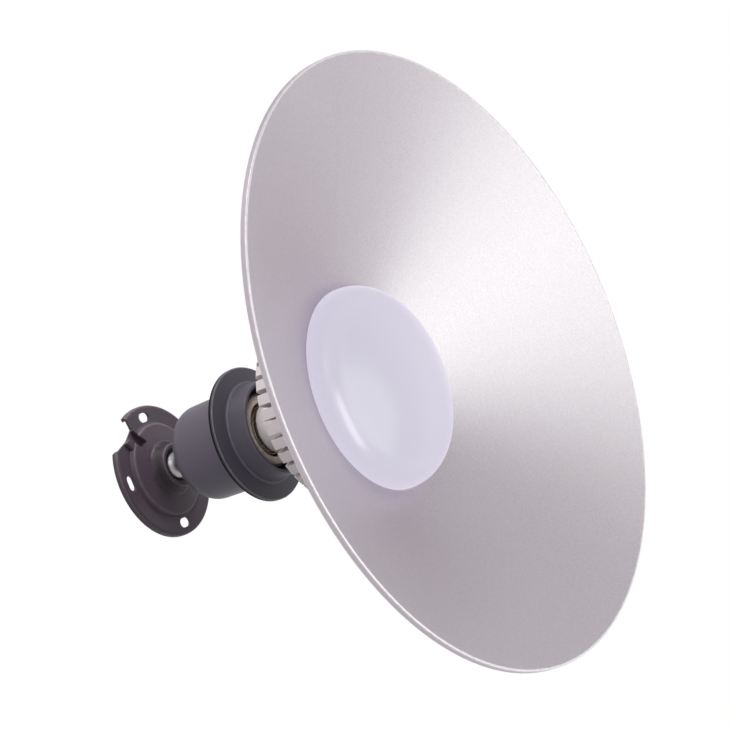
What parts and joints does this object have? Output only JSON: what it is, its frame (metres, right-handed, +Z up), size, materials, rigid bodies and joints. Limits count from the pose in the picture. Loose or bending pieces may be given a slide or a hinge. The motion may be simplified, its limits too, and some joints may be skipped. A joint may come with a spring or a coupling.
{
  "type": "led low bay light",
  "caption": "Low bay lamp with a shallow round reflector, frosted dome and finned heat sink, screwed into a lampholder on a ball swivel ceiling base.",
  "frame": {"origin": "centre of the ceiling base's flat back, in the plane of the ceiling", "axes": "+Z up into the ceiling along the lamp's axis, -Y towards the viewer of the picture; the fixing slots lie on X and Y, and the cable notch lies between +X and -Y"},
  "size_m": [0.34, 0.34, 0.2163],
  "materials": {
    "base_paint": "satin dark grey paint",
    "bright_steel": "polished plating",
    "screw_steel": "zinc plated steel",
    "nylon": "natural nylon",
    "cup_paint": "satin grey paint",
    "ring_plastic": "moulded dark grey",
    "seal_rubber": "black rubber",
    "porcelain": "glazed beige",
    "contact_brass": "bare brass",
    "cap_nickel": "nickel plating",
    "cap_glass": "black insulating glass",
    "neck_plastic": "moulded light grey",
    "sink_paint": "light grey powder coat",
    "board_green": "solder mask",
    "ferrite": "ferrite and tape",
    "can_aluminium": "sleeved can",
    "copper_winding": "enamelled copper",
    "wire_sleeve": "silicone sleeve",
    "heat_pad": "silicone pad",
    "board_white": "white mask on aluminium",
    "led_phosphor": "phosphor",
    "satin_aluminium": "frosted spun aluminium",
    "frosted_white": "frosted white"
  },
  "bodies": {
    "base": {"ceiling_base": "base_paint", "clamp_plate": "screw_steel", "clamp_screws": "screw_steel"},
    "swivel_seat": {"ball_seat": "nylon"},
    "lamp_head": {"ball_stud": "bright_steel", "lock_washer": "screw_steel", "lock_nut": "screw_steel", "holder_cup": "cup_paint", "rim_gasket": "seal_rubber", "front_ring": "ring_plastic", "socket_body": "porcelain", "screw_shell": "contact_brass", "centre_contact": "contact_brass", "shell_terminal": "contact_brass", "centre_terminal": "contact_brass", "contact_rivets": "contact_brass", "terminal_screws": "screw_steel", "lamp_cap": "cap_nickel", "cap_insulator": "cap_glass", "cap_contact": "contact_brass", "neck_housing": "neck_plastic", "housing_screws": "screw_steel", "heat_sink": "sink_paint", "driver_board": "board_green", "driver_screws": "screw_steel", "transformer": "ferrite", "capacitor": "can_aluminium", "choke": "copper_winding", "cap_leads": "wire_sleeve", "led_leads": "wire_sleeve", "thermal_pad": "heat_pad", "led_board": "board_white", "led_chips": "led_phosphor", "board_screws": "screw_steel", "reflector": "satin_aluminium", "reflector_screws": "screw_steel", "diffuser": "frosted_white"}
  },
  "joints": [
    {"name": "pan", "type": "hinge", "parent": "base", "child": "swivel_seat", "pos_m": [0, 0, -0.01], "axis": [0, 0, 1], "range_deg": [-170, 170]},
    {"name": "tilt", "type": "hinge", "parent": "swivel_seat", "child": "lamp_head", "pos_m": [0, 0, -0.01], "axis": [0, 1, 0], "range_deg": [-35, 35]}
  ]
}
